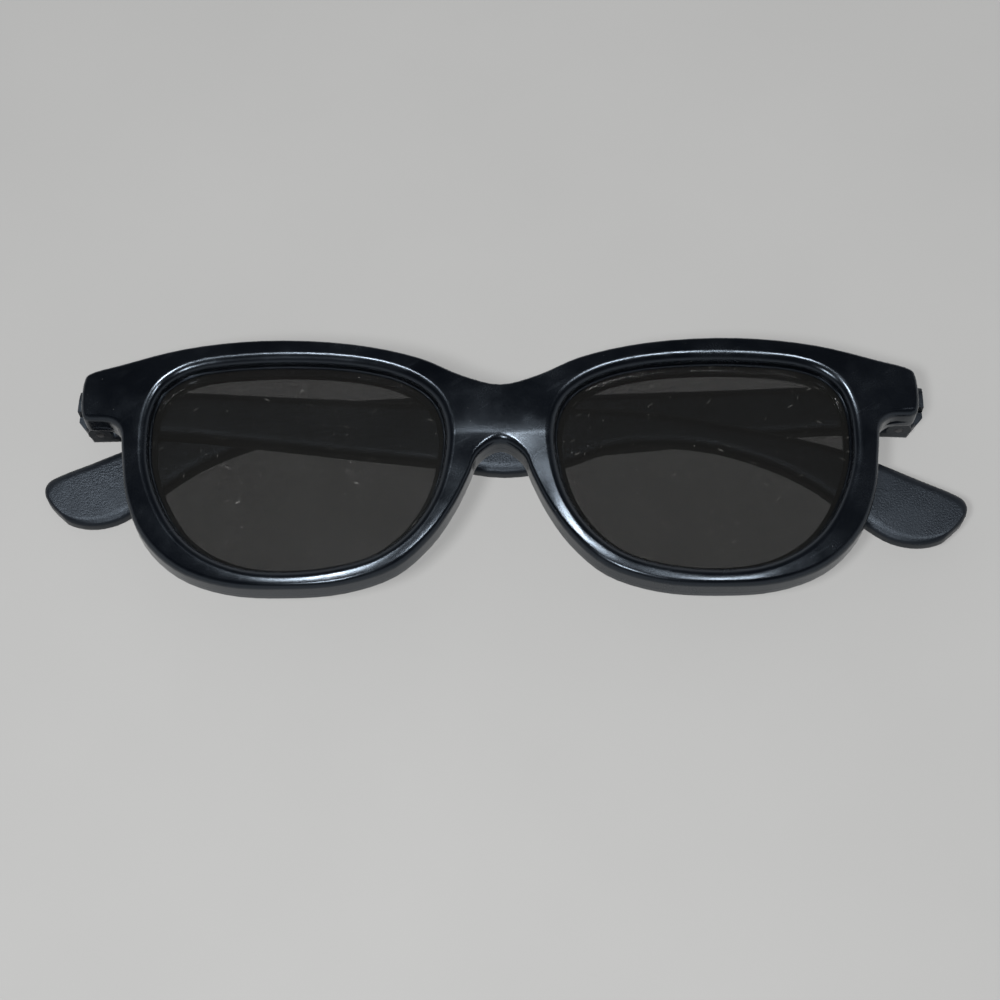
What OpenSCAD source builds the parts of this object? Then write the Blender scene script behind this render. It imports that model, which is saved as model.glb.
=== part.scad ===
// Folding 3D glasses with polarising lenses, lying folded with the front upwards.
// +X runs along the front, +Y is the top of the glasses and +Z is up, out of the front.
// Left and right are as seen from the front. The origin is on the floor, under the middle.

/* [Front] */
// Width of the front, from endpiece to endpiece
front_w = 147.4; // [141:0.2:155]
// Height of the front, from its lower rims to its top edge
front_h = 48.3; // [46:0.1:52]
// Radius of the front's wrap, seen from above
wrap_r = 450; // [380:10:700]
// Depth of the front shell, from its face to the seam
front_shell_t = 3.4; // [3:0.1:4.2]
// Depth of the rear shell, from the seam to its back
rear_shell_t = 1.8; // [1.6:0.1:2.6]
// Gap at the welded seam between the two shells
seam_gap = 0.04; // [0.02:0.01:0.1]
// Rounding of the outer edge of the face
edge_round = 0.6; // [0.4:0.1:0.8]
// How much wider that rounding is where the edge faces down, in parts of the face's fall
lower_round = 2.6; // [1.5:0.1:3]
// Reach of the face's rounding at the lens openings, across the rim
opening_reach = 1.9; // [1.4:0.1:2.1]
// Depth of that rounding
opening_round = 1.7; // [1.2:0.1:1.8]
// Rounding of the rear shell's edges
rear_round = 0.6; // [0.3:0.1:0.8]

/* [Lenses] */
// Thickness of the retarder film, on the front of the lens
retarder_t = 0.3; // [0.2:0.05:0.4]
// Thickness of the polariser film, on the back of the lens
polariser_t = 0.45; // [0.3:0.05:0.6]
// Width of the ledge that the films sit on
ledge_w = 1.2; // [0.9:0.1:1.5]
// Width of the rear shell's ledge behind the films
rear_ledge = 1.1; // [0.8:0.1:1.4]
// Width of the lip that frames the films in front
lip_w = 0.3; // [0.2:0.05:0.4]
// Height of that lip
lip_h = 0.4; // [0.3:0.05:0.6]
// Room around the films, and between them and the shells
film_gap = 0.05; // [0.03:0.01:0.1]

/* [Temples] */
// Length of a temple, from its hinge axis to its tip
temple_l = 154.4; // [150:0.2:160]
// Thickness of a temple
temple_t = 3; // [2.8:0.1:3.2]
// Rounding of a temple's long edges
temple_round = 0.9; // [0.5:0.1:1]
// Reach of that rounding across a temple's inner face, in parts of its depth
temple_reach = 2.3; // [1:0.1:2.4]
// Length of a temple in front of its hinge axis
butt_l = 5; // [4.6:0.1:5.4]
// Radius of the round ejector marks on a temple's inner face
mark_r = 1.9; // [1.6:0.1:2.4]
// Depth of the ejector marks
mark_t = 0.15; // [0.1:0.05:0.3]

/* [Hinges] */
// Distance of a hinge axis from the end of the front
axis_inset = 1.5; // [1.2:0.1:2]
// Diameter of a hinge pin
pin_d = 1.5; // [1.2:0.1:1.8]
// Radial clearance of a pin in the ear that holds it
pin_seat = 0.01; // [0.01:0.01:0.03]
// Radial clearance of a pin in the temple that turns on it
pin_run = 0.05; // [0.03:0.01:0.09]
// Height of the ear on the rear shell
ear_h = 3.1; // [2.6:0.1:3.4]
// Radius of the ear about the hinge axis
ear_r = 2.2; // [2:0.1:2.3]
// Radius of the temple's two barrels about the hinge axis
barrel_r = 2.2; // [2:0.1:2.5]
// Room between the ear and the temple's slot
ear_gap = 0.15; // [0.1:0.05:0.25]
// Distance of a temple's inner face behind its hinge axis
face_drop = 0.3; // [0.2:0.05:0.5]
// Gap between an open temple's end and the back of the front
stop_gap = 0.15; // [0.1:0.05:0.3]

/* [Folded pose] */
// Angle of the inner temple towards the front, where it lies against nothing
inner_lean = 1.6; // [1.4:0.1:2]
// Angle of the outer temple away from the front, where it lies on the inner one
outer_lean = 1.4; // [1.3:0.1:1.8]
// Angle by which both folded temples lean in the play of their hinges
hinge_lean = 1.65; // [0:0.05:2]

/* [Hidden] */
$fn = 48;
eps = 0.01;

// Points drawn for one half of the front, at the size below, and stretched to front_w and front_h
drawn_half_w = 73.7;
drawn_top = 27.2;
drawn_bottom = -21.1;
stretch = [front_w / 2 / drawn_half_w, front_h / (drawn_top - drawn_bottom)];

// Right lens opening, clockwise from its upper nasal corner
opening_points = [
    [12.2, 15.1], [17.8, 19], [26, 21.3], [36, 22.4], [46, 22.6], [53.7, 21.9], [58.7, 19.1],
    [60.8, 14.3], [61, 8], [60.3, 3], [58.2, -3], [54.6, -9.2], [49.6, -13.8], [43.3, -16.7],
    [36, -17.7], [28, -17.2], [21, -15.2], [15.6, -11], [11.8, -5], [9.9, 2], [9.7, 9.5]
];

// Outer edge of the right half, from the top of the bridge round to the nose arch and back up the
// middle plane. The third number is the place on the lens opening that each point lies across from,
// and the fourth is how far the crowned face falls towards the edge there.
edge_points = [
    [0, 16.9, -0.25, 0.4], [6.5, 18.7, 0.2, 0.35], [14, 22.4, 0.9, 0.3], [26, 25.6, 2, 0.25],
    [42, 27.2, 3.6, 0.25], [56, 26.5, 5.1, 0.25], [67, 24.3, 5.9, 0.3], [73, 22.9, 6.3, 0.3],
    [73.7, 22, 6.6, 0.25], [73.7, 15.3, 7, 0.25], [73, 13.9, 7.3, 0.25], [68.8, 13.1, 7.6, 0.3],
    [66.5, 11, 7.9, 0.3], [65.6, 6.4, 8.4, 0.3], [64.2, -2, 9.7, 0.35], [60.8, -10, 11, 0.4],
    [54.5, -16.4, 11.8, 0.35], [46, -20, 12.8, 0.28], [36, -21.1, 14, 0.22], [26, -20.6, 15.2, 0.25],
    [17.5, -17.7, 16.4, 0.38], [11.6, -12.2, 17.3, 0.45], [7.8, -6.2, 18.1, 0.45],
    [5.3, -0.6, 18.9, 0.42], [3.7, 3.3, 19.4, 0.4], [0, 5.7, 19.75, 0.4]
];
// Places on the lens opening across from the middle plane, between the arch and the bridge's top
middle_places = [20.1, 20.45];
// Steps between two points of an outline
outline_steps = 4;
// Steepest lean of the crowned face
steepest_lean = 16;
// Steps round a quarter of an edge rounding, of the face's outer one and of the wide one at a lens
// opening
round_steps = 4;
edge_steps = 6;
opening_steps = 7;

// A temple's two long edges in pairs, upper then lower, as [distance from the axis, height]
drawn_temple_l = 154;
temple_pairs = [
    [[-1.8, 25.5], [-1.8, 15.9]], [[14, 25.6], [12, 16.1]], [[30, 24.8], [28, 14.6]],
    [[46, 24.1], [45, 12.6]], [[61, 23.4], [61, 10.8]], [[73.5, 23.1], [73, 9.1]],
    [[84, 22.9], [83, 10.8]], [[92, 22.5], [91.5, 14.1]], [[103, 21.5], [101, 15.2]],
    [[113, 19.5], [110, 14.3]], [[124, 17], [118.5, 11.6]], [[133, 14.4], [125.5, 8.1]],
    [[140.3, 11.2], [131, 4]], [[146.5, 8.2], [135.8, -0.3]], [[151.2, 6], [140.4, -3.4]],
    [[153.4, 4.6], [145, -4.3]], [[154, 3.3], [149.2, -3.3]], [[154, 2.1], [152.4, -0.6]]
];
// Lower corner of the temple's front end, which is cut off at a slant
butt_cut_y = 19.9;
temple_steps = 4;
// Angle through which a temple's tip is rounded, and where that starts in its last stretch
tip_turn = 75;
tip_start = 0.3;
// Ejector marks, as [distance from the axis, height]
marks = [[12, 20.8], [84, 17.8], [139, 4.4]];

// Hinge axis, and the pieces along it from the temple's lower edge to its upper edge
axis_x = front_w / 2 - axis_inset;
axis_y = 19.4 * stretch.y;
hinge_bottom = temple_pairs[0][1].y * stretch.y - axis_y;
hinge_top = temple_pairs[0][0].y * stretch.y - axis_y;
frame_t = front_shell_t + rear_shell_t;
axis_z = wrap_z(front_w / 2) - frame_t - stop_gap - butt_l;
ear_set = 0.3;
ear_neck = axis_inset - ear_set;
ear_root = 1.1;
axial_gap = ear_gap / 2;
skin_t = face_drop + temple_t - ear_r - ear_gap;

// Lens films, as depths behind the face
seat_z = front_shell_t - retarder_t - polariser_t - 2 * film_gap;
retarder_z = seat_z + film_gap;
polariser_z = retarder_z + retarder_t;
film_margin = ledge_w - film_gap;

// The part stands on the outer temple, which lies flat
tip_drop = axis_y - temple_pairs[len(temple_pairs) - 2][0].y * stretch.y;
middle_x = axis_z * sin(outer_lean) - tip_drop * sin(hinge_lean);
middle_y = (drawn_top + drawn_bottom) / 2 * stretch.y;
floor_z = axis_z * cos(outer_lean) - axis_x * sin(outer_lean) - face_drop - temple_t;

plastic = "#1c1d21";
grained = "#232429";
film = "#4a4b45";
steel = "#a9abad";

// Height of the wrapped face over the bridge's own height
function wrap_z(x) = sqrt(wrap_r * wrap_r - x * x) - wrap_r;

// Smooth curve through four points, between the second and the third
function between(a, b, c, d, t) =
    0.5 * (2 * b + (c - a) * t + (2 * a - 5 * b + 4 * c - d) * t * t
        + (3 * b - a - 3 * c + d) * t * t * t);
// The same with its speed set by the points' distances, so that close points make no loop
function knot(a, b) = max(sqrt(norm(b - a)), eps);
function rounded_between(a, b, c, d, t) =
    let (
        t1 = knot(a, b), t2 = t1 + knot(b, c), t3 = t2 + knot(c, d),
        u = t1 + (t2 - t1) * t,
        p = (a * (t1 - u) + b * u) / t1,
        q = (b * (t2 - u) + c * (u - t1)) / (t2 - t1),
        r = (c * (t3 - u) + d * (u - t2)) / (t3 - t2),
        s = (p * (t2 - u) + q * u) / t2,
        v = (q * (t3 - u) + r * (u - t1)) / (t3 - t1)
    ) (s * (t2 - u) + v * (u - t1)) / (t2 - t1);

// A point on the lens opening, by its place along the drawn points
function opening_at(place) =
    let (
        n = len(opening_points),
        i = floor(place), t = place - i,
        p = [for (k = [-1:2]) opening_points[(i + k + 2 * n) % n]]
    ) between(p[0], p[1], p[2], p[3], t);

// Stations round the half front: the outer edge, then the middle plane upwards
edge_n = len(edge_points);
edge_xy = [for (p = edge_points) [p.x, p.y]];
mirror_x = [[-1, 0], [0, 1]];
function edge_at(i) = i < 0 ? mirror_x * edge_xy[-i]
    : i >= edge_n ? mirror_x * edge_xy[2 * edge_n - 2 - i] : edge_xy[i];
edge_stations = [
    for (i = [0:edge_n - 2]) for (k = [0:outline_steps - 1])
        let (t = k / outline_steps)
        [rounded_between(edge_at(i - 1), edge_at(i), edge_at(i + 1), edge_at(i + 2), t),
            edge_points[i][2] * (1 - t) + edge_points[i + 1][2] * t,
            edge_points[i][3] * (1 - t) + edge_points[i + 1][3] * t]
];
arch = edge_points[edge_n - 1];
middle_n = len(middle_places);
middle_stations = [
    [[0, arch.y], arch[2], arch[3]],
    for (k = [0:middle_n - 1])
        [[0, arch.y + (edge_xy[0].y - arch.y) * (k + 1) / (middle_n + 1)], middle_places[k], 0]
];
stations = concat(edge_stations, middle_stations);
station_n = len(stations);
arch_station = len(edge_stations);
outer_loop = [for (s = stations) [s[0].x * stretch.x, s[0].y * stretch.y]];
lens_loop = [for (s = stations) let (p = opening_at(s[1])) [p.x * stretch.x, p.y * stretch.y]];

// Unit normals, out of the material for the outer edge and into it for the lens opening
function left_of(v) = [-v.y, v.x] / norm(v);
lens_normals = [
    for (i = [0:station_n - 1])
        left_of(lens_loop[(i + 1) % station_n] - lens_loop[(i + station_n - 1) % station_n])
];
function in_middle(i) = i == 0 || i >= arch_station;
outer_normals = [
    for (i = [0:station_n - 1])
        i == 0 ? [0, 1] : i == arch_station ? [0, -1] : i > arch_station ? [0, 0]
        : left_of(outer_loop[i + 1] - outer_loop[i - 1])
];

// A section point is [which loop, distance into the rim, depth behind the face]. On the outer
// rounding of the face the distance is instead the place along that rounding, which starts where
// the crowned face has fallen to and leans as the face does.
lens_side = 0;
outer_side = 1;
on_round = 2;
function room_at(i) = norm(outer_loop[i] - lens_loop[i]) - opening_reach;
function round_at(i) =
    min(edge_round - lower_round * stations[i][2] * min(0, outer_normals[i].y), 0.9 * room_at(i));
function face_at(i) = max(room_at(i) - round_at(i), eps);
function lean_at(i) = min(steepest_lean, atan(stations[i][2] / face_at(i)));
function placed_at(i, q) =
    let (
        lean = lean_at(i), a = lean + (90 - lean) * q[1], r = round_at(i),
        inset = q[0] == on_round ? r * (1 - sin(a)) : q[1],
        depth = q[0] == on_round ? face_at(i) * tan(lean) + r * (cos(lean) - cos(a)) : q[2],
        p = q[0] == lens_side ? lens_loop[i] + lens_normals[i] * inset
            : outer_loop[i] - outer_normals[i] * inset
    ) [p.x, p.y, wrap_z(p.x) - depth];

front_section = concat(
    [[lens_side, -lip_w, seat_z], [lens_side, -lip_w, seat_z - lip_h / 2],
        [lens_side, -lip_w / 2, seat_z - lip_h], [lens_side, 0, seat_z - lip_h]],
    [for (k = [0:opening_steps]) let (a = 90 * k / opening_steps)
        [lens_side, opening_reach * (1 - cos(a)), opening_round * (1 - sin(a))]],
    [for (k = [0:edge_steps]) [on_round, k / edge_steps, 0]],
    [[outer_side, 0, front_shell_t], [lens_side, ledge_w, front_shell_t], [lens_side, ledge_w, seat_z]]
);

rear_section = concat(
    [[lens_side, -rear_ledge, front_shell_t + seam_gap], [outer_side, 0, front_shell_t + seam_gap]],
    [for (k = [0:round_steps]) let (a = 90 * k / round_steps)
        [outer_side, rear_round * (1 - cos(a)), frame_t - rear_round * (1 - sin(a))]],
    [for (k = [0:round_steps]) let (a = 90 * k / round_steps)
        [lens_side, rear_round * (1 - sin(a)) - rear_ledge, frame_t - rear_round * (1 - cos(a))]]
);

// Both halves of a shell as one closed body, joined through the middle plane
module shell(section) {
    m = len(section);
    half = station_n * m;
    right = [for (i = [0:station_n - 1]) for (q = section) placed_at(i, q)];
    points = concat(right, [for (p = right) [-p.x, p.y, p.z]]);
    function shared(i, k) = in_middle(i) && section[k][0] != lens_side;
    function at(side, i, k) = i * m + k + (side == 1 && !shared(i, k) ? half : 0);
    faces = [
        for (side = [0, 1]) for (i = [0:station_n - 1]) for (k = [0:m - 1])
            let (
                j = (i + 1) % station_n, l = (k + 1) % m,
                inside = shared(i, k) && shared(j, k) && shared(i, l) && shared(j, l),
                a = at(side, i, k), b = at(side, j, k), c = at(side, j, l), d = at(side, i, l)
            )
            if (!inside) each (side == 0 ? [[a, c, b], [a, d, c]] : [[a, b, c], [a, c, d]])
    ];
    polyhedron(points, faces);
}

module front_frame() {
    color(plastic) placed() shell(front_section);
}

module rear_frame() {
    color(plastic) placed() union() {
        shell(rear_section);
        for (side = [-1, 1]) at_hinge(side) ear(side);
    }
}

// Tongue behind an endpiece, with the bore that holds the pin
module ear(side) {
    neck_top = wrap_z(front_w / 2) - frame_t + ear_root - axis_z;
    difference() {
        union() {
            along_axis(-ear_h / 2, ear_h) circle(ear_r);
            outer_x = side > 0 ? ear_neck : ear_r;
            translate([outer_x - ear_r - ear_neck, -ear_h / 2, 0])
                cube([ear_r + ear_neck, ear_h, neck_top]);
        }
        along_axis(-ear_h / 2 - 1, ear_h + 2) circle(pin_d / 2 + pin_seat);
    }
}

// One film of a lens, cut from the wrapped sheet to the opening's outline
module lens_film(depth, thickness) {
    outline = [for (i = [0:station_n - 1]) lens_loop[i] + lens_normals[i] * film_margin];
    intersection() {
        translate([0, 0, wrap_z(front_w / 2) - frame_t])
            linear_extrude(2 * frame_t - wrap_z(front_w / 2)) polygon(outline);
        difference() {
            wrapped_block(depth);
            wrapped_block(depth + thickness);
        }
    }
}

module wrapped_block(depth) {
    translate([0, -front_h, -wrap_r - depth])
        rotate([-90, 0, 0]) cylinder(r = wrap_r, h = 2 * front_h, $fn = 720);
}

module on_side(side) {
    mirror([side < 0 ? 1 : 0, 0, 0]) children();
}

module left_retarder() {
    color(film) placed() on_side(-1) lens_film(retarder_z, retarder_t);
}

module right_retarder() {
    color(film) placed() on_side(1) lens_film(retarder_z, retarder_t);
}

module left_polariser() {
    color(film) placed() on_side(-1) lens_film(polariser_z, polariser_t);
}

module right_polariser() {
    color(film) placed() on_side(1) lens_film(polariser_z, polariser_t);
}

// Temple drawn as hinged at the left, with its axis on Y and its inner face towards +Z
function drawn_pair(i) =
    i == 0 ? [[-butt_l, hinge_top], [-butt_l, butt_cut_y * stretch.y - axis_y]]
    : [for (p = temple_pairs[i - 1])
        [p.x < 0 ? p.x : p.x * temple_l / drawn_temple_l, p.y * stretch.y - axis_y]];
pair_n = len(temple_pairs) + 1;
function pair_at(i) = drawn_pair(max(0, min(pair_n - 1, i)));
function tip_pair(t) = drawn_pair(pair_n - 2) * (1 - t) + drawn_pair(pair_n - 1) * t;
// Sections along a temple, as [upper edge, lower edge, rounding of the tip]
temple_sections = concat(
    [[drawn_pair(0)[0], drawn_pair(0)[1], 0]],
    [for (i = [1:pair_n - 3]) for (k = [0:temple_steps - 1])
        let (
            p = [for (e = [0, 1])
                rounded_between(pair_at(i == 1 ? 1 : i - 1)[e], pair_at(i)[e],
                    pair_at(i + 1)[e], pair_at(i + 2)[e], k / temple_steps)]
        ) [p[0], p[1], 0]],
    [[drawn_pair(pair_n - 2)[0], drawn_pair(pair_n - 2)[1], 0]],
    [for (k = [0:round_steps])
        let (
            a = tip_turn * k / round_steps,
            p = tip_pair(tip_start + (1 - tip_start) * sin(a) / sin(tip_turn))
        ) [p[0], p[1], temple_round * (1 - cos(a))]]
);

// Points round a temple section, as [which edge, distance from it, height over the middle]
half_t = temple_t / 2;
function temple_side(shrink) =
    let (r = temple_round - shrink, h = half_t - shrink)
    concat(
        [for (k = [0:round_steps]) let (a = 90 * k / round_steps)
            [shrink + r * temple_reach * (1 - sin(a)), h - r * (1 - cos(a))]],
        [for (k = [0:round_steps]) let (a = 90 * k / round_steps)
            [shrink + r * (1 - cos(a)), r * (1 - sin(a)) - h]]
    );
function temple_ring(shrink) =
    let (side = temple_side(shrink), n = len(side))
    concat(
        [for (c = side) [0, c[0], c[1]]],
        [for (k = [0:n - 1]) let (c = side[n - 1 - k]) [1, c[0], c[1]]]
    );

module temple_slab() {
    m = len(temple_ring(0));
    n = len(temple_sections);
    points = [
        for (s = temple_sections) for (q = temple_ring(s[2]))
            let (
                from = s[q[0]], to = s[1 - q[0]],
                p = from + (to - from) / norm(to - from) * q[1]
            ) [p.x, p.y, q[2] - half_t - face_drop]
    ];
    faces = concat(
        [for (i = [0:n - 2]) for (k = [0:m - 1])
            let (l = (k + 1) % m, a = i * m + k, b = a + m, c = (i + 1) * m + l, d = i * m + l)
            each [[a, c, b], [a, d, c]]],
        [for (k = [1:m - 2]) [0, k + 1, k]],
        [for (k = [1:m - 2]) [(n - 1) * m, (n - 1) * m + k, (n - 1) * m + k + 1]]
    );
    polyhedron(points, faces);
}

module along_axis(from, length) {
    translate([0, from + length, 0]) rotate([90, 0, 0]) linear_extrude(length) children();
}

module temple() {
    slot_h = ear_h + 2 * axial_gap;
    difference() {
        union() {
            temple_slab();
            along_axis(hinge_bottom, hinge_top - hinge_bottom) circle(barrel_r);
        }
        // The ear swings in this slot, which leaves the temple's outer skin whole
        translate([-butt_l - 1, -slot_h / 2, skin_t - face_drop - temple_t])
            cube([butt_l + 1 + ear_r + ear_gap, slot_h, 2 * temple_t + barrel_r]);
        along_axis(hinge_bottom - 1, hinge_top - hinge_bottom + 2) circle(pin_d / 2 + pin_run);
        for (p = marks)
            translate([p.x * temple_l / drawn_temple_l, p.y * stretch.y - axis_y, -face_drop - mark_t])
                cylinder(r = mark_r, h = 1);
    }
}

module hinge_pin() {
    along_axis(hinge_bottom, hinge_top - hinge_bottom) circle(pin_d / 2);
}

// Frame of a hinge: side -1 is the left one
module at_hinge(side) {
    translate([side * axis_x, axis_y, axis_z]) rotate([0, 0, -hinge_lean]) children();
}

module left_temple() {
    color(grained) placed() at_hinge(-1) rotate([0, -inner_lean, 0]) temple();
}

module right_temple() {
    color(grained) placed() at_hinge(1) rotate([0, -outer_lean, 0]) mirror([1, 0, 0]) temple();
}

module left_hinge_pin() {
    color(steel) placed() at_hinge(-1) hinge_pin();
}

module right_hinge_pin() {
    color(steel) placed() at_hinge(1) hinge_pin();
}

// From the front's own frame to the floor
module placed() {
    translate([-middle_x, -middle_y, -floor_z]) rotate([0, outer_lean, 0]) children();
}

front_frame();
rear_frame();
left_retarder();
left_polariser();
right_retarder();
right_polariser();
left_temple();
right_temple();
left_hinge_pin();
right_hinge_pin();
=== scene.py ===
"""Folding 3D glasses: shells, lens films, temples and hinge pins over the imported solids."""

import math

import bpy
from bpy.props import FloatProperty, FloatVectorProperty, PointerProperty
from mathutils import Matrix, Vector


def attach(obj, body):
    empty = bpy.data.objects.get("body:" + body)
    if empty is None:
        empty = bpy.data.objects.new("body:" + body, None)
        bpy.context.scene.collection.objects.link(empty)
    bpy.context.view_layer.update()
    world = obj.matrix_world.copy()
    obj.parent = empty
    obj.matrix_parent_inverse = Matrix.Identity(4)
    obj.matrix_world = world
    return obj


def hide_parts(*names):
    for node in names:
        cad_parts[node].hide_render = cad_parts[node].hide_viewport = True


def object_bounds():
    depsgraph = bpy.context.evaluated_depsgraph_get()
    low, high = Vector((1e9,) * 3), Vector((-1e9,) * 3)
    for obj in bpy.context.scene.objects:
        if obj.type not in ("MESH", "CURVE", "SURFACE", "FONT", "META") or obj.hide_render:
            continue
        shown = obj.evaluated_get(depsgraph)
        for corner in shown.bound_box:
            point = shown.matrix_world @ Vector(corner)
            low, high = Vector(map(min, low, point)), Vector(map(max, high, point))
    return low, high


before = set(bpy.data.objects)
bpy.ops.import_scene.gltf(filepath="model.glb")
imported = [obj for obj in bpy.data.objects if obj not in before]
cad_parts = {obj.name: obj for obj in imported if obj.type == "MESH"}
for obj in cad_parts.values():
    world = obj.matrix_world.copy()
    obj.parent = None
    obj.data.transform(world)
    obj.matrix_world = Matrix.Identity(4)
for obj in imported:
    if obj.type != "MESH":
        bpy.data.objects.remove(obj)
CAD_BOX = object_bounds()

bl_info = {
    "name": "Folding 3D Glasses",
    "version": (1, 0, 0),
    "blender": (4, 5, 0),
    "location": "View3D > Sidebar > Glasses",
    "description": "Builds folding glasses with polarising lens films around their packed solids",
    "category": "Object",
}

SIDES = ("left", "right")
MILLIMETRE = 0.001

# Meshes: lengths in metres
MERGE_WITHIN = 0.000002
SHORTEST_EDGE = 0.000001
QUAD_BEND = math.radians(25)
QUAD_SKEW = math.radians(50)
SMALL_SHARP_ANGLE = math.radians(40)
FILM_OFFSET = 0.00001
CHAMFER_STEPS = 3
PIN_END_ANGLE = math.radians(60)

# Places of the colour sockets on a Mix node
MIX_FIRST = 6
MIX_SECOND = 7
MIX_RESULT = 2

# Most of a noise lies in this span
NOISE_SPAN = (0.3, 0.7)

# Moulded plastic: sizes in metres, and spans of noise or distance in which a mark fades in
PLASTIC_IOR = 1.5
FRAME_SHINE = 0.6
TEMPLE_SHINE = 0.38
FRAME_GRAIN_DEPTH = 0.000008
TEMPLE_GRAIN_DEPTH = 0.00005
FLOW_SIZE = 0.021
FLOW_SPAN = (0.35, 0.7)
FLOW_SCALE = 1.3
FLOW_LIFT = 0.0006
SMUDGE_SIZE = 0.0075
SMUDGE_SPAN = (0.42, 0.72)
SCUFF_WIDTH = 0.0011
SCUFF_STRETCH = (8.0, 1.0, 1.0)
SCUFF_TURN = (0.2, 0.1, 0.6)
SCUFF_SPAN = (0.66, 0.74)
DUST_SPACING = 0.0021
DUST_EDGE = (0.045, 0.02)
DUST_PATCH = 0.009
DUST_SPAN = (0.50, 0.66)
DUST_COVER = 0.55
WAVE_SIZE = 0.006
WAVE_DEPTH = 0.000015

# How far each mark moves the plastic's roughness
FLOW_ROUGH = 0.035
GRAIN_ROUGH = 0.03
SMUDGE_ROUGH = 0.09
SCUFF_ROUGH = 0.04
DUST_ROUGH = 0.3

# Lens films: sizes in metres
FILM_IOR = 1.49
RETARDER_TINT = (0.05, 0.05, 0.05)
POLARISER_SCRATCH = 0.2
LINT_SPACING = 0.0017
LINT_EDGE = (0.05, 0.025)
LINT_PATCH = 0.005
LINT_SPAN = (0.42, 0.55)
LINT_COVER = 0.8
HAZE_SIZE = 0.014
HAZE_SPAN = (0.3, 0.75)
HAZE_ROUGH = (0.05, 0.13)
MARK_COLOUR = (0.42, 0.42, 0.39)
MARK_COVER = 0.8
MARK_ROUGH = 0.3
MARK_DEPTH = 0.000008

# Sets of short scratches: gap in metres, length in gaps, turn in radians, share left out
SCRATCHES = (
    (0.0014, 14.0, 0.5, 0.58),
    (0.0011, 9.0, 1.3, 0.66),
    (0.0016, 12.0, -0.4, 0.62),
    (0.0018, 14.0, 0.9, 0.6),
)
SCRATCH_EDGE = (0.04, 0.018)
SCRATCH_FADE = 0.2
SCRATCH_PATCH = 0.004
SCRATCH_SPAN = (0.36, 0.56)

# Pin steel: sizes in metres
DRAWN_WIDTH = 0.00012
DRAWN_STRETCH = (1.0, 30.0, 1.0)
DRAWN_DEPTH = 0.000006
DRAWN_ROUGH = (0.24, 0.40)
TARNISH_SIZE = 0.0009
TARNISH_SPAN = (0.45, 0.75)
TARNISH_TONE = 0.45

# Stage: lengths in metres
FLOOR_RADIUS = 9.0
FLOOR_STEPS = 96
FLOOR_DROP = 0.00002
MOTTLE_SIZE = 0.05
MOTTLE_TONE = 0.97
FADE_HEIGHTS = (0.25, 0.6)
LIT_POINT = (0.0, 0.0, 0.01)
KEY_PLACE = (-0.05, -0.17, 0.32)
KEY_WIDTH = 0.05
TOP_PLACE = (-0.30, 0.42, 1.86)
TOP_WIDTH = math.radians(9.1)
SIDE_PLACE = (0.63, 0.15, 1.86)
SIDE_WIDTH = math.radians(8.0)

# Camera: the bridge's middle, and how far it lies off the view's axis, as a share of the distance
SENSOR_WIDTH = 36.0
NEAREST_SEEN = 0.01
FARTHEST_SEEN = 50.0
BRIDGE_MIDDLE = Vector((0.862, -3.05, 21.485)) * MILLIMETRE
OFF_AXIS = (-0.5 / 1800.0, -32.0 / 1800.0)


# Settings

def colour_prop(name, description, default):
    """A colour that a user may change."""
    return FloatVectorProperty(name=name, description=description, default=default,
                               subtype="COLOR", size=3, min=0.0, max=1.0)


class ShellSettings(bpy.types.PropertyGroup):
    """Moulded shells and temples."""

    frame_colour: colour_prop("Frame colour", "Colour of the satin shells", (0.0012, 0.0018, 0.0032))
    temple_colour: colour_prop("Temple colour", "Colour of the grained temples", (0.0036, 0.0046, 0.0068))
    dust_colour: colour_prop("Dust colour", "Colour of the dust and lint on the plastic", (0.22, 0.22, 0.21))
    frame_roughness: FloatProperty(name="Frame roughness", description="Middle roughness of the shells",
                                   default=0.19, min=0.05, max=1.0, subtype="FACTOR")
    temple_roughness: FloatProperty(name="Temple roughness", description="Middle roughness of the temples",
                                    default=0.34, min=0.05, max=1.0, subtype="FACTOR")
    frame_grain: FloatProperty(name="Frame grain", description="Size of the grain in the shells' skin",
                               default=0.00022, min=0.00005, unit="LENGTH", precision=5)
    temple_grain: FloatProperty(name="Temple grain", description="Size of the grain in the temples' skin",
                                default=0.00032, min=0.00005, unit="LENGTH", precision=5)
    sheen_tint: colour_prop("Highlight tint", "Cool tint of the plastic's highlights", (0.72, 0.85, 1.0))
    sharp_angle: FloatProperty(name="Sharp angle", description="Edges sharper than this stay crisp",
                               default=math.radians(42), subtype="ANGLE")


class LensSettings(bpy.types.PropertyGroup):
    """Lens films."""

    tint: colour_prop("Tint", "Colour of the polarising film", (0.004, 0.004, 0.0034))
    polariser_cover: FloatProperty(name="Polariser cover", default=0.71, min=0.0, max=1.0, subtype="FACTOR",
                                   description="Share of the light that each face of the polariser stops")
    retarder_cover: FloatProperty(name="Retarder cover", default=0.05, min=0.0, max=1.0, subtype="FACTOR",
                                  description="Share of the light that each face of the retarder stops")
    scratch: FloatProperty(name="Scratches", description="How strongly the scratches on the lens show",
                           default=0.5, min=0.0, max=1.0, subtype="FACTOR")


class PinSettings(bpy.types.PropertyGroup):
    """Hinge pins."""

    steel_colour: colour_prop("Steel colour", "Colour of the hinge pins", (0.06, 0.06, 0.065))
    chamfer: FloatProperty(name="Chamfer", description="Chamfer at the ends of a hinge pin",
                           default=0.00022, min=0.0, unit="LENGTH", precision=5)


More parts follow.
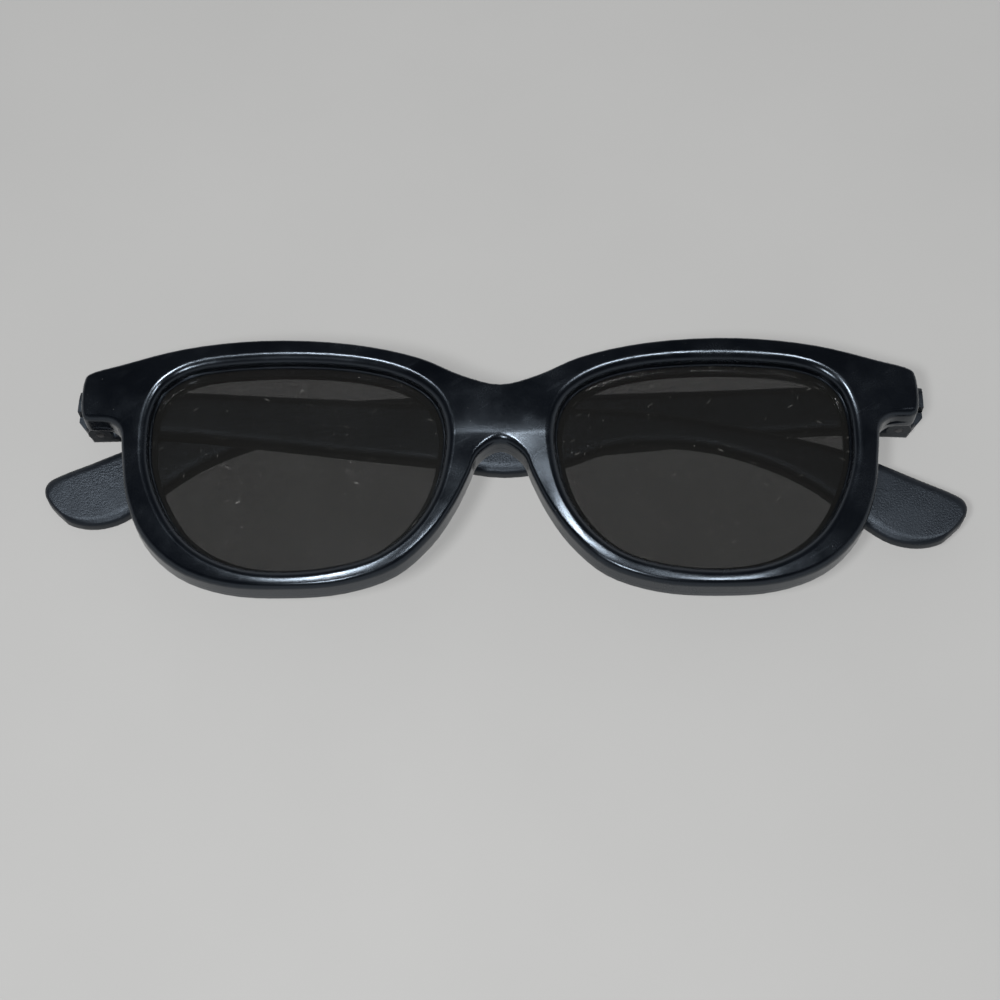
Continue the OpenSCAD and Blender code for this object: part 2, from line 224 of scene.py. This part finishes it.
class StageSettings(bpy.types.PropertyGroup):
    """Floor, light and camera."""

    floor_colour: colour_prop("Floor colour", "Colour of the plain floor", (0.46, 0.46, 0.455))
    background: colour_prop("Background", "Colour of the plain surroundings", (0.60, 0.60, 0.60))
    key_power: FloatProperty(name="Key light", description="Power of the lamp beside the camera",
                             default=0.45, min=0.0, unit="POWER")
    top_light: FloatProperty(name="Top light", description="Strength of the soft light over the top edge",
                             default=1.62, min=0.0)
    side_light: FloatProperty(name="Side light", description="Strength of the soft light from the right",
                              default=0.78, min=0.0)
    room_light: FloatProperty(name="Room light", description="Strength of the light from all round",
                              default=0.14, min=0.0)
    ceiling: FloatProperty(name="Ceiling", description="Brightness of the dim room overhead, in reflections",
                           default=0.02, min=0.0)
    tilt: FloatProperty(name="Camera tilt", description="Angle between the view and straight down",
                        default=math.radians(27), subtype="ANGLE")
    roll: FloatProperty(name="Camera roll", description="Turn of the camera about its view",
                        default=math.radians(-0.35), subtype="ANGLE")
    lean: FloatProperty(name="Front lean", description="Sideways lean of the front on the folded temples",
                        default=math.radians(1.4), subtype="ANGLE")
    distance: FloatProperty(name="Camera distance", description="Distance from the camera to the bridge",
                            default=0.3039, min=0.05, unit="LENGTH")
    lens: FloatProperty(name="Lens", description="Focal length on a 36 mm sensor",
                        default=64.8, min=10.0, unit="CAMERA")


class GlassesSettings(bpy.types.PropertyGroup):
    """All settings of the glasses."""

    shell: PointerProperty(type=ShellSettings)
    lens: PointerProperty(type=LensSettings)
    pin: PointerProperty(type=PinSettings)
    stage: PointerProperty(type=StageSettings)


# Shaping

def deselect_all():
    """Leaves object mode with nothing selected."""
    if bpy.context.object and bpy.context.object.mode != "OBJECT":
        bpy.ops.object.mode_set(mode="OBJECT")
    bpy.ops.object.select_all(action="DESELECT")


def only(piece):
    """Selects one piece alone."""
    deselect_all()
    piece.select_set(True)
    bpy.context.view_layer.objects.active = piece


def solid_copy(node, name):
    """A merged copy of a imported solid, in quads where its triangles pair up, left selected."""
    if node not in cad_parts:
        raise RuntimeError(f"the frame has no solid named {node}")
    piece = bpy.data.objects.new(name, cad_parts[node].data.copy())
    piece.data.name = name
    piece.data.materials.clear()
    bpy.context.scene.collection.objects.link(piece)
    only(piece)
    bpy.ops.mesh.customdata_custom_splitnormals_clear()
    bpy.ops.object.mode_set(mode="EDIT")
    bpy.ops.mesh.select_all(action="SELECT")
    bpy.ops.mesh.remove_doubles(threshold=MERGE_WITHIN)
    bpy.ops.mesh.dissolve_degenerate(threshold=SHORTEST_EDGE)
    bpy.ops.mesh.select_all(action="SELECT")
    bpy.ops.mesh.tris_convert_to_quads(face_threshold=QUAD_BEND, shape_threshold=QUAD_SKEW)
    bpy.ops.object.mode_set(mode="OBJECT")
    return piece


def offset_film(piece):
    """Moves a film's faces by a hair, so that they don't lie in the faces of the film beside it."""
    only(piece)
    bpy.ops.object.mode_set(mode="EDIT")
    bpy.ops.mesh.select_all(action="SELECT")
    bpy.ops.transform.shrink_fatten(value=-FILM_OFFSET)
    bpy.ops.object.mode_set(mode="OBJECT")


def smooth(piece, sharp_angle):
    """Shades a piece smooth between its sharp edges, with its flat faces kept flat."""
    only(piece)
    bpy.ops.object.shade_smooth_by_angle(angle=sharp_angle)
    weighted = piece.modifiers.new("flat_faces_first", "WEIGHTED_NORMAL")
    weighted.keep_sharp = True
    bpy.ops.object.modifier_apply(modifier=weighted.name)


def dress(piece, node, body, material):
    """Puts a material on a piece and lets it stand for its solid."""
    piece.data.materials.append(material)
    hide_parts(node)
    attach(piece, body)


# Materials

class Nodes:
    """A node tree under construction."""

    def __init__(self, tree):
        self.tree = tree

    def add(self, kind, **settings):
        """A new node with some of its settings."""
        node = self.tree.nodes.new(kind)
        for key, value in settings.items():
            setattr(node, key, value)
        return node

    def put(self, value, socket):
        """Links an output to an input, or writes a plain value on the input."""
        if isinstance(value, bpy.types.NodeSocket):
            self.tree.links.new(value, socket)
        else:
            socket.default_value = value

    def between(self, source, low, high, to_low=0.0, to_high=1.0):
        """A value moved from one range to another and kept inside it."""
        node = self.add("ShaderNodeMapRange", clamp=True)
        self.put(source, node.inputs["Value"])
        self.put(low, node.inputs["From Min"])
        self.put(high, node.inputs["From Max"])
        self.put(to_low, node.inputs["To Min"])
        self.put(to_high, node.inputs["To Max"])
        return node.outputs["Result"]

    def math(self, operation, first, second):
        """Two values, each plain or an output, joined by an operation."""
        node = self.add("ShaderNodeMath", operation=operation)
        self.put(first, node.inputs[0])
        self.put(second, node.inputs[1])
        return node.outputs["Value"]

    def mixed(self, amount, first, second):
        """The second colour over the first by a mask, each plain or an output."""
        node = self.add("ShaderNodeMix", data_type="RGBA")
        self.put(amount, node.inputs["Factor"])
        for colour, place in ((first, MIX_FIRST), (second, MIX_SECOND)):
            if not isinstance(colour, bpy.types.NodeSocket):
                colour = (*colour, 1.0)
            self.put(colour, node.inputs[place])
        return node.outputs[MIX_RESULT]


class Finish(Nodes):
    """A material under construction, with its patterns on Object coordinates."""

    def __init__(self, name):
        self.material = bpy.data.materials.new(name)
        self.material.use_nodes = True
        super().__init__(self.material.node_tree)
        self.shader = self.tree.nodes["Principled BSDF"]
        self.place = self.add("ShaderNodeTexCoord").outputs["Object"]

    def set(self, **values):
        """Puts values on the shader's inputs, named with _ for a space."""
        for key, value in values.items():
            self.put(value, self.shader.inputs[key.replace("_", " ")])

    def stretched(self, lengths, turn=(0.0, 0.0, 0.0)):
        """Object coordinates turned, then stretched along each turned axis."""
        node = self.add("ShaderNodeMapping", vector_type="TEXTURE")
        self.put(self.place, node.inputs["Vector"])
        self.put(turn, node.inputs["Rotation"])
        self.put(lengths, node.inputs["Scale"])
        return node.outputs["Vector"]

    def noise(self, size, detail=2.0, roughness=0.5, place=None):
        """Cloudy noise whose patches are about the given size in metres."""
        node = self.add("ShaderNodeTexNoise")
        self.put(1.0 / size, node.inputs["Scale"])
        self.put(detail, node.inputs["Detail"])
        self.put(roughness, node.inputs["Roughness"])
        self.put(place or self.place, node.inputs["Vector"])
        return node.outputs["Fac"]

    def specks(self, spacing):
        """Distance from scattered points, about the given spacing apart in metres."""
        node = self.add("ShaderNodeTexVoronoi", feature="F1")
        self.put(1.0 / spacing, node.inputs["Scale"])
        self.put(self.place, node.inputs["Vector"])
        return node.outputs["Distance"]

    def scratches(self, gap, length, turn, share):
        """Short straight marks on the XY plane, a share of them left out."""
        node = self.add("ShaderNodeTexVoronoi", feature="F1", voronoi_dimensions="2D")
        self.put(1.0 / gap, node.inputs["Scale"])
        self.put(self.stretched((length, 1.0, 1.0), (0.0, 0.0, turn)), node.inputs["Vector"])
        lines = self.between(node.outputs["Distance"], *SCRATCH_EDGE)
        kept = self.between(node.outputs["Color"], share, share + SCRATCH_FADE)
        return self.math("MULTIPLY", lines, kept)

    def bump(self, height, depth, under=None):
        """Relief of the given depth in metres, over an earlier relief."""
        node = self.add("ShaderNodeBump")
        self.put(1.0, node.inputs["Strength"])
        self.put(depth, node.inputs["Distance"])
        self.put(height, node.inputs["Height"])
        if under:
            self.put(under, node.inputs["Normal"])
        return node.outputs["Normal"]


def moulded_plastic(name, look, colour, roughness, shine, grain, depth):
    """Black moulded plastic with a fine skin grain, faint flow, smudges, scuffs and a little dust."""
    finish = Finish(name)
    flow = finish.noise(FLOW_SIZE, detail=3.0)
    skin = finish.noise(grain, roughness=0.6)
    smudges = finish.between(finish.noise(SMUDGE_SIZE, roughness=0.6), *SMUDGE_SPAN)
    scuffs = finish.noise(SCUFF_WIDTH, detail=1.0, place=finish.stretched(SCUFF_STRETCH, SCUFF_TURN))
    scuffs = finish.between(scuffs, *SCUFF_SPAN)
    dust = finish.between(finish.specks(DUST_SPACING), *DUST_EDGE)
    dust = finish.math("MULTIPLY", dust, finish.between(finish.noise(DUST_PATCH), *DUST_SPAN))
    pale = tuple(FLOW_SCALE * c + FLOW_LIFT for c in colour)
    base = finish.mixed(finish.between(flow, *FLOW_SPAN), colour, pale)
    base = finish.mixed(finish.math("MULTIPLY", dust, DUST_COVER), base, tuple(look.dust_colour))
    rough = finish.between(flow, *NOISE_SPAN, roughness - FLOW_ROUGH, roughness + FLOW_ROUGH)
    rough = finish.math("ADD", rough, finish.between(skin, *NOISE_SPAN, -GRAIN_ROUGH, GRAIN_ROUGH))
    for marks, amount in ((smudges, SMUDGE_ROUGH), (scuffs, SCUFF_ROUGH), (dust, DUST_ROUGH)):
        rough = finish.math("ADD", rough, finish.math("MULTIPLY", marks, amount))
    relief = finish.bump(skin, depth)
    relief = finish.bump(finish.noise(WAVE_SIZE, detail=1.0), WAVE_DEPTH, under=relief)
    finish.set(Base_Color=base, Roughness=rough, Normal=relief, IOR=PLASTIC_IOR,
               Specular_IOR_Level=shine, Specular_Tint=(*look.sheen_tint, 1.0))
    return finish.material


def lens_film(name, tint, cover, scratch):
    """Glossy film that lets part of the light through, with short scratches, lint and dust."""
    finish = Finish(name)
    marks = finish.between(finish.specks(LINT_SPACING), *LINT_EDGE)
    patches = finish.between(finish.noise(LINT_PATCH), *LINT_SPAN, 0.0, LINT_COVER)
    marks = finish.math("MULTIPLY", marks, patches)
    for gap, length, turn, share in SCRATCHES:
        lines = finish.scratches(gap, length, turn, share)
        patches = finish.between(finish.noise(SCRATCH_PATCH + gap), *SCRATCH_SPAN, 0.0, scratch)
        marks = finish.math("MAXIMUM", marks, finish.math("MULTIPLY", lines, patches))
    haze = finish.between(finish.noise(HAZE_SIZE, detail=3.0), *HAZE_SPAN, *HAZE_ROUGH)
    rough = finish.math("ADD", haze, finish.math("MULTIPLY", marks, MARK_ROUGH))
    alpha = finish.math("MAXIMUM", finish.math("MULTIPLY", marks, MARK_COVER), cover)
    finish.set(Base_Color=finish.mixed(marks, tint, MARK_COLOUR), Roughness=rough, Alpha=alpha,
               Normal=finish.bump(marks, MARK_DEPTH), IOR=FILM_IOR)
    return finish.material


def drawn_steel(name, colour):
    """Plain steel wire with drawing marks along it and dark tarnish."""
    finish = Finish(name)
    marks = finish.noise(DRAWN_WIDTH, place=finish.stretched(DRAWN_STRETCH))
    tarnish = finish.between(finish.noise(TARNISH_SIZE, detail=3.0), *TARNISH_SPAN)
    dark = tuple(TARNISH_TONE * c for c in colour)
    finish.set(Base_Color=finish.mixed(tarnish, colour, dark),
               Roughness=finish.between(marks, *NOISE_SPAN, *DRAWN_ROUGH),
               Normal=finish.bump(marks, DRAWN_DEPTH), Metallic=1.0)
    return finish.material


def floor_paint(name, tone):
    """Matt paint with a barely seen mottle."""
    finish = Finish(name)
    mottle = finish.between(finish.noise(MOTTLE_SIZE, detail=4.0), *NOISE_SPAN)
    soft = tuple(MOTTLE_TONE * c for c in tone)
    finish.set(Base_Color=finish.mixed(mottle, tone, soft), Roughness=0.95, Specular_IOR_Level=0.1)
    return finish.material


# Operators

class GLASSES_OT_front_shells(bpy.types.Operator):
    """Make the front shell and the rear shell in satin plastic"""

    bl_idname = "glasses.front_shells"
    bl_label = "Front Shells"

    def execute(self, context):
        look = context.scene.glasses.shell
        satin = moulded_plastic("satin_black_plastic", look, tuple(look.frame_colour),
                                look.frame_roughness, FRAME_SHINE, look.frame_grain, FRAME_GRAIN_DEPTH)
        for node in ("front_frame", "rear_frame"):
            piece = solid_copy(node, node + "_moulding")
            smooth(piece, look.sharp_angle)
            dress(piece, node, "front", satin)
        return {"FINISHED"}


class GLASSES_OT_lens_films(bpy.types.Operator):
    """Make the retarder and the polariser of each lens"""

    bl_idname = "glasses.lens_films"
    bl_label = "Lens Films"

    def execute(self, context):
        look = context.scene.glasses.lens
        clear = lens_film("clear_retarder_film", RETARDER_TINT, look.retarder_cover, look.scratch)
        dark = lens_film("dark_polarising_film", tuple(look.tint), look.polariser_cover,
                         POLARISER_SCRATCH * look.scratch)
        for side in SIDES:
            for kind, film in (("retarder", clear), ("polariser", dark)):
                node = f"{side}_{kind}"
                piece = solid_copy(node, node + "_film")
                if kind == "polariser":
                    offset_film(piece)
                smooth(piece, SMALL_SHARP_ANGLE)
                dress(piece, node, "front", film)
        return {"FINISHED"}


class GLASSES_OT_temples(bpy.types.Operator):
    """Make the two folding temples in grained plastic"""

    bl_idname = "glasses.temples"
    bl_label = "Temples"

    def execute(self, context):
        look = context.scene.glasses.shell
        grained = moulded_plastic("grained_black_plastic", look, tuple(look.temple_colour),
                                  look.temple_roughness, TEMPLE_SHINE, look.temple_grain, TEMPLE_GRAIN_DEPTH)
        for side in SIDES:
            node = f"{side}_temple"
            piece = solid_copy(node, node + "_moulding")
            smooth(piece, look.sharp_angle)
            dress(piece, node, node, grained)
        return {"FINISHED"}


class GLASSES_OT_hinge_pins(bpy.types.Operator):
    """Make the two hinge pins with chamfered ends"""

    bl_idname = "glasses.hinge_pins"
    bl_label = "Hinge Pins"

    def execute(self, context):
        look = context.scene.glasses.pin
        steel = drawn_steel("drawn_pin_steel", tuple(look.steel_colour))
        for side in SIDES:
            node = f"{side}_hinge_pin"
            piece = solid_copy(node, node + "_wire")
            chamfer = piece.modifiers.new("chamfer", "BEVEL")
            chamfer.width = look.chamfer
            chamfer.segments = CHAMFER_STEPS
            chamfer.limit_method = "ANGLE"
            chamfer.angle_limit = PIN_END_ANGLE
            bpy.ops.object.modifier_apply(modifier=chamfer.name)
            smooth(piece, SMALL_SHARP_ANGLE)
            dress(piece, node, "front", steel)
        return {"FINISHED"}


class GLASSES_OT_stage(bpy.types.Operator):
    """Set up the floor, the surroundings, the lights and the camera"""

    bl_idname = "glasses.stage"
    bl_label = "Stage"

    def execute(self, context):
        stage = context.scene.glasses.stage
        self.floor(stage)
        self.surroundings(context, stage)
        self.lights(stage)
        self.camera(context, stage)
        context.scene.view_settings.view_transform = "Standard"
        return {"FINISHED"}

    def floor(self, stage):
        """A plain round floor, just under the lowest point of the solids."""
        deselect_all()
        bpy.ops.mesh.primitive_circle_add(vertices=FLOOR_STEPS, radius=FLOOR_RADIUS, fill_type="NGON",
                                          location=(0.0, 0.0, CAD_BOX[0][2] - FLOOR_DROP))
        ground = bpy.context.active_object
        ground.name = "plain_floor"
        ground.data.materials.append(floor_paint("plain_floor_paint", tuple(stage.floor_colour)))

    def surroundings(self, context, stage):
        """Even light from all round; the camera and reflections see it pale, and dim overhead."""
        world = bpy.data.worlds.new("plain_surroundings")
        world.use_nodes = True
        world.cycles.sampling_method = "NONE"
        context.scene.world = world
        sky = Nodes(world.node_tree)
        room = sky.tree.nodes["Background"]
        sky.put((1.0, 1.0, 1.0, 1.0), room.inputs["Color"])
        sky.put(stage.room_light, room.inputs["Strength"])
        direction = sky.add("ShaderNodeSeparateXYZ")
        sky.put(sky.add("ShaderNodeTexCoord").outputs["Generated"], direction.inputs["Vector"])
        height = sky.between(direction.outputs["Z"], *FADE_HEIGHTS)
        overhead = (stage.ceiling, stage.ceiling, stage.ceiling)
        seen = sky.add("ShaderNodeBackground")
        sky.put(sky.mixed(height, tuple(stage.background), overhead), seen.inputs["Color"])
        path = sky.add("ShaderNodeLightPath")
        rays = path.outputs["Is Camera Ray"]
        for kind in ("Is Glossy Ray", "Is Transmission Ray"):
            rays = sky.math("MAXIMUM", rays, path.outputs[kind])
        chosen = sky.add("ShaderNodeMixShader")
        sky.put(rays, chosen.inputs["Fac"])
        sky.put(room.outputs["Background"], chosen.inputs[1])
        sky.put(seen.outputs["Background"], chosen.inputs[2])
        sky.put(chosen.outputs["Shader"], sky.tree.nodes["World Output"].inputs["Surface"])

    def lights(self, stage):
        """A small lamp beside the camera that casts the shadow, and two soft lights that cast none."""
        key = self.light("AREA", "key_lamp", KEY_PLACE, stage.key_power)
        key.shape = "DISK"
        key.size = KEY_WIDTH
        for name, place, width, strength in (
                ("top_lamp", TOP_PLACE, TOP_WIDTH, stage.top_light),
                ("side_lamp", SIDE_PLACE, SIDE_WIDTH, stage.side_light)):
            soft = self.light("SUN", name, place, strength)
            soft.angle = width
            soft.use_shadow = False

    def light(self, kind, name, place, energy):
        """A light that shines from a place towards the glasses."""
        deselect_all()
        bpy.ops.object.light_add(type=kind, location=place)
        lamp = bpy.context.active_object
        lamp.name = name
        lamp.data.energy = energy
        lamp.rotation_euler = (Vector(LIT_POINT) - Vector(place)).to_track_quat("-Z", "Y").to_euler()
        return lamp.data

    def camera(self, context, stage):
        """A camera that looks down on the bridge."""
        deselect_all()
        bpy.ops.object.camera_add()
        camera = bpy.context.active_object
        camera.name = "photo_camera"
        camera.data.sensor_width = SENSOR_WIDTH
        camera.data.lens = stage.lens
        camera.data.clip_start = NEAREST_SEEN
        camera.data.clip_end = FARTHEST_SEEN
        lean = Matrix.Rotation(stage.lean, 4, "Y")
        aim = lean @ Matrix.Rotation(stage.tilt, 4, "X") @ Matrix.Rotation(stage.roll, 4, "Z")
        back = aim @ Vector((*OFF_AXIS, 1.0))
        camera.matrix_world = Matrix.Translation(BRIDGE_MIDDLE + stage.distance * back) @ aim
        context.scene.camera = camera


class GLASSES_PT_sidebar(bpy.types.Panel):
    """Sidebar panel that lists the pieces and their settings"""

    bl_idname = "GLASSES_PT_sidebar"
    bl_label = "Folding 3D Glasses"
    bl_space_type = "VIEW_3D"
    bl_region_type = "UI"
    bl_category = "Glasses"

    def draw(self, context):
        for operator in BUILD_ORDER:
            self.layout.operator(operator.bl_idname)
        settings = context.scene.glasses
        for group in (settings.shell, settings.lens, settings.pin, settings.stage):
            box = self.layout.box()
            for name in group.__annotations__:
                box.prop(group, name)


BUILD_ORDER = (
    GLASSES_OT_front_shells,
    GLASSES_OT_lens_films,
    GLASSES_OT_temples,
    GLASSES_OT_hinge_pins,
    GLASSES_OT_stage,
)
CLASSES = (
    ShellSettings,
    LensSettings,
    PinSettings,
    StageSettings,
    GlassesSettings,
    *BUILD_ORDER,
    GLASSES_PT_sidebar,
)


def register():
    for cls in CLASSES:
        bpy.utils.register_class(cls)
    bpy.types.Scene.glasses = PointerProperty(type=GlassesSettings)


def unregister():
    del bpy.types.Scene.glasses
    for cls in reversed(CLASSES):
        bpy.utils.unregister_class(cls)


def main():
    register()
    bpy.ops.glasses.front_shells()
    bpy.ops.glasses.lens_films()
    bpy.ops.glasses.temples()
    bpy.ops.glasses.hinge_pins()
    bpy.ops.glasses.stage()


if __name__ == "__main__":
    main()
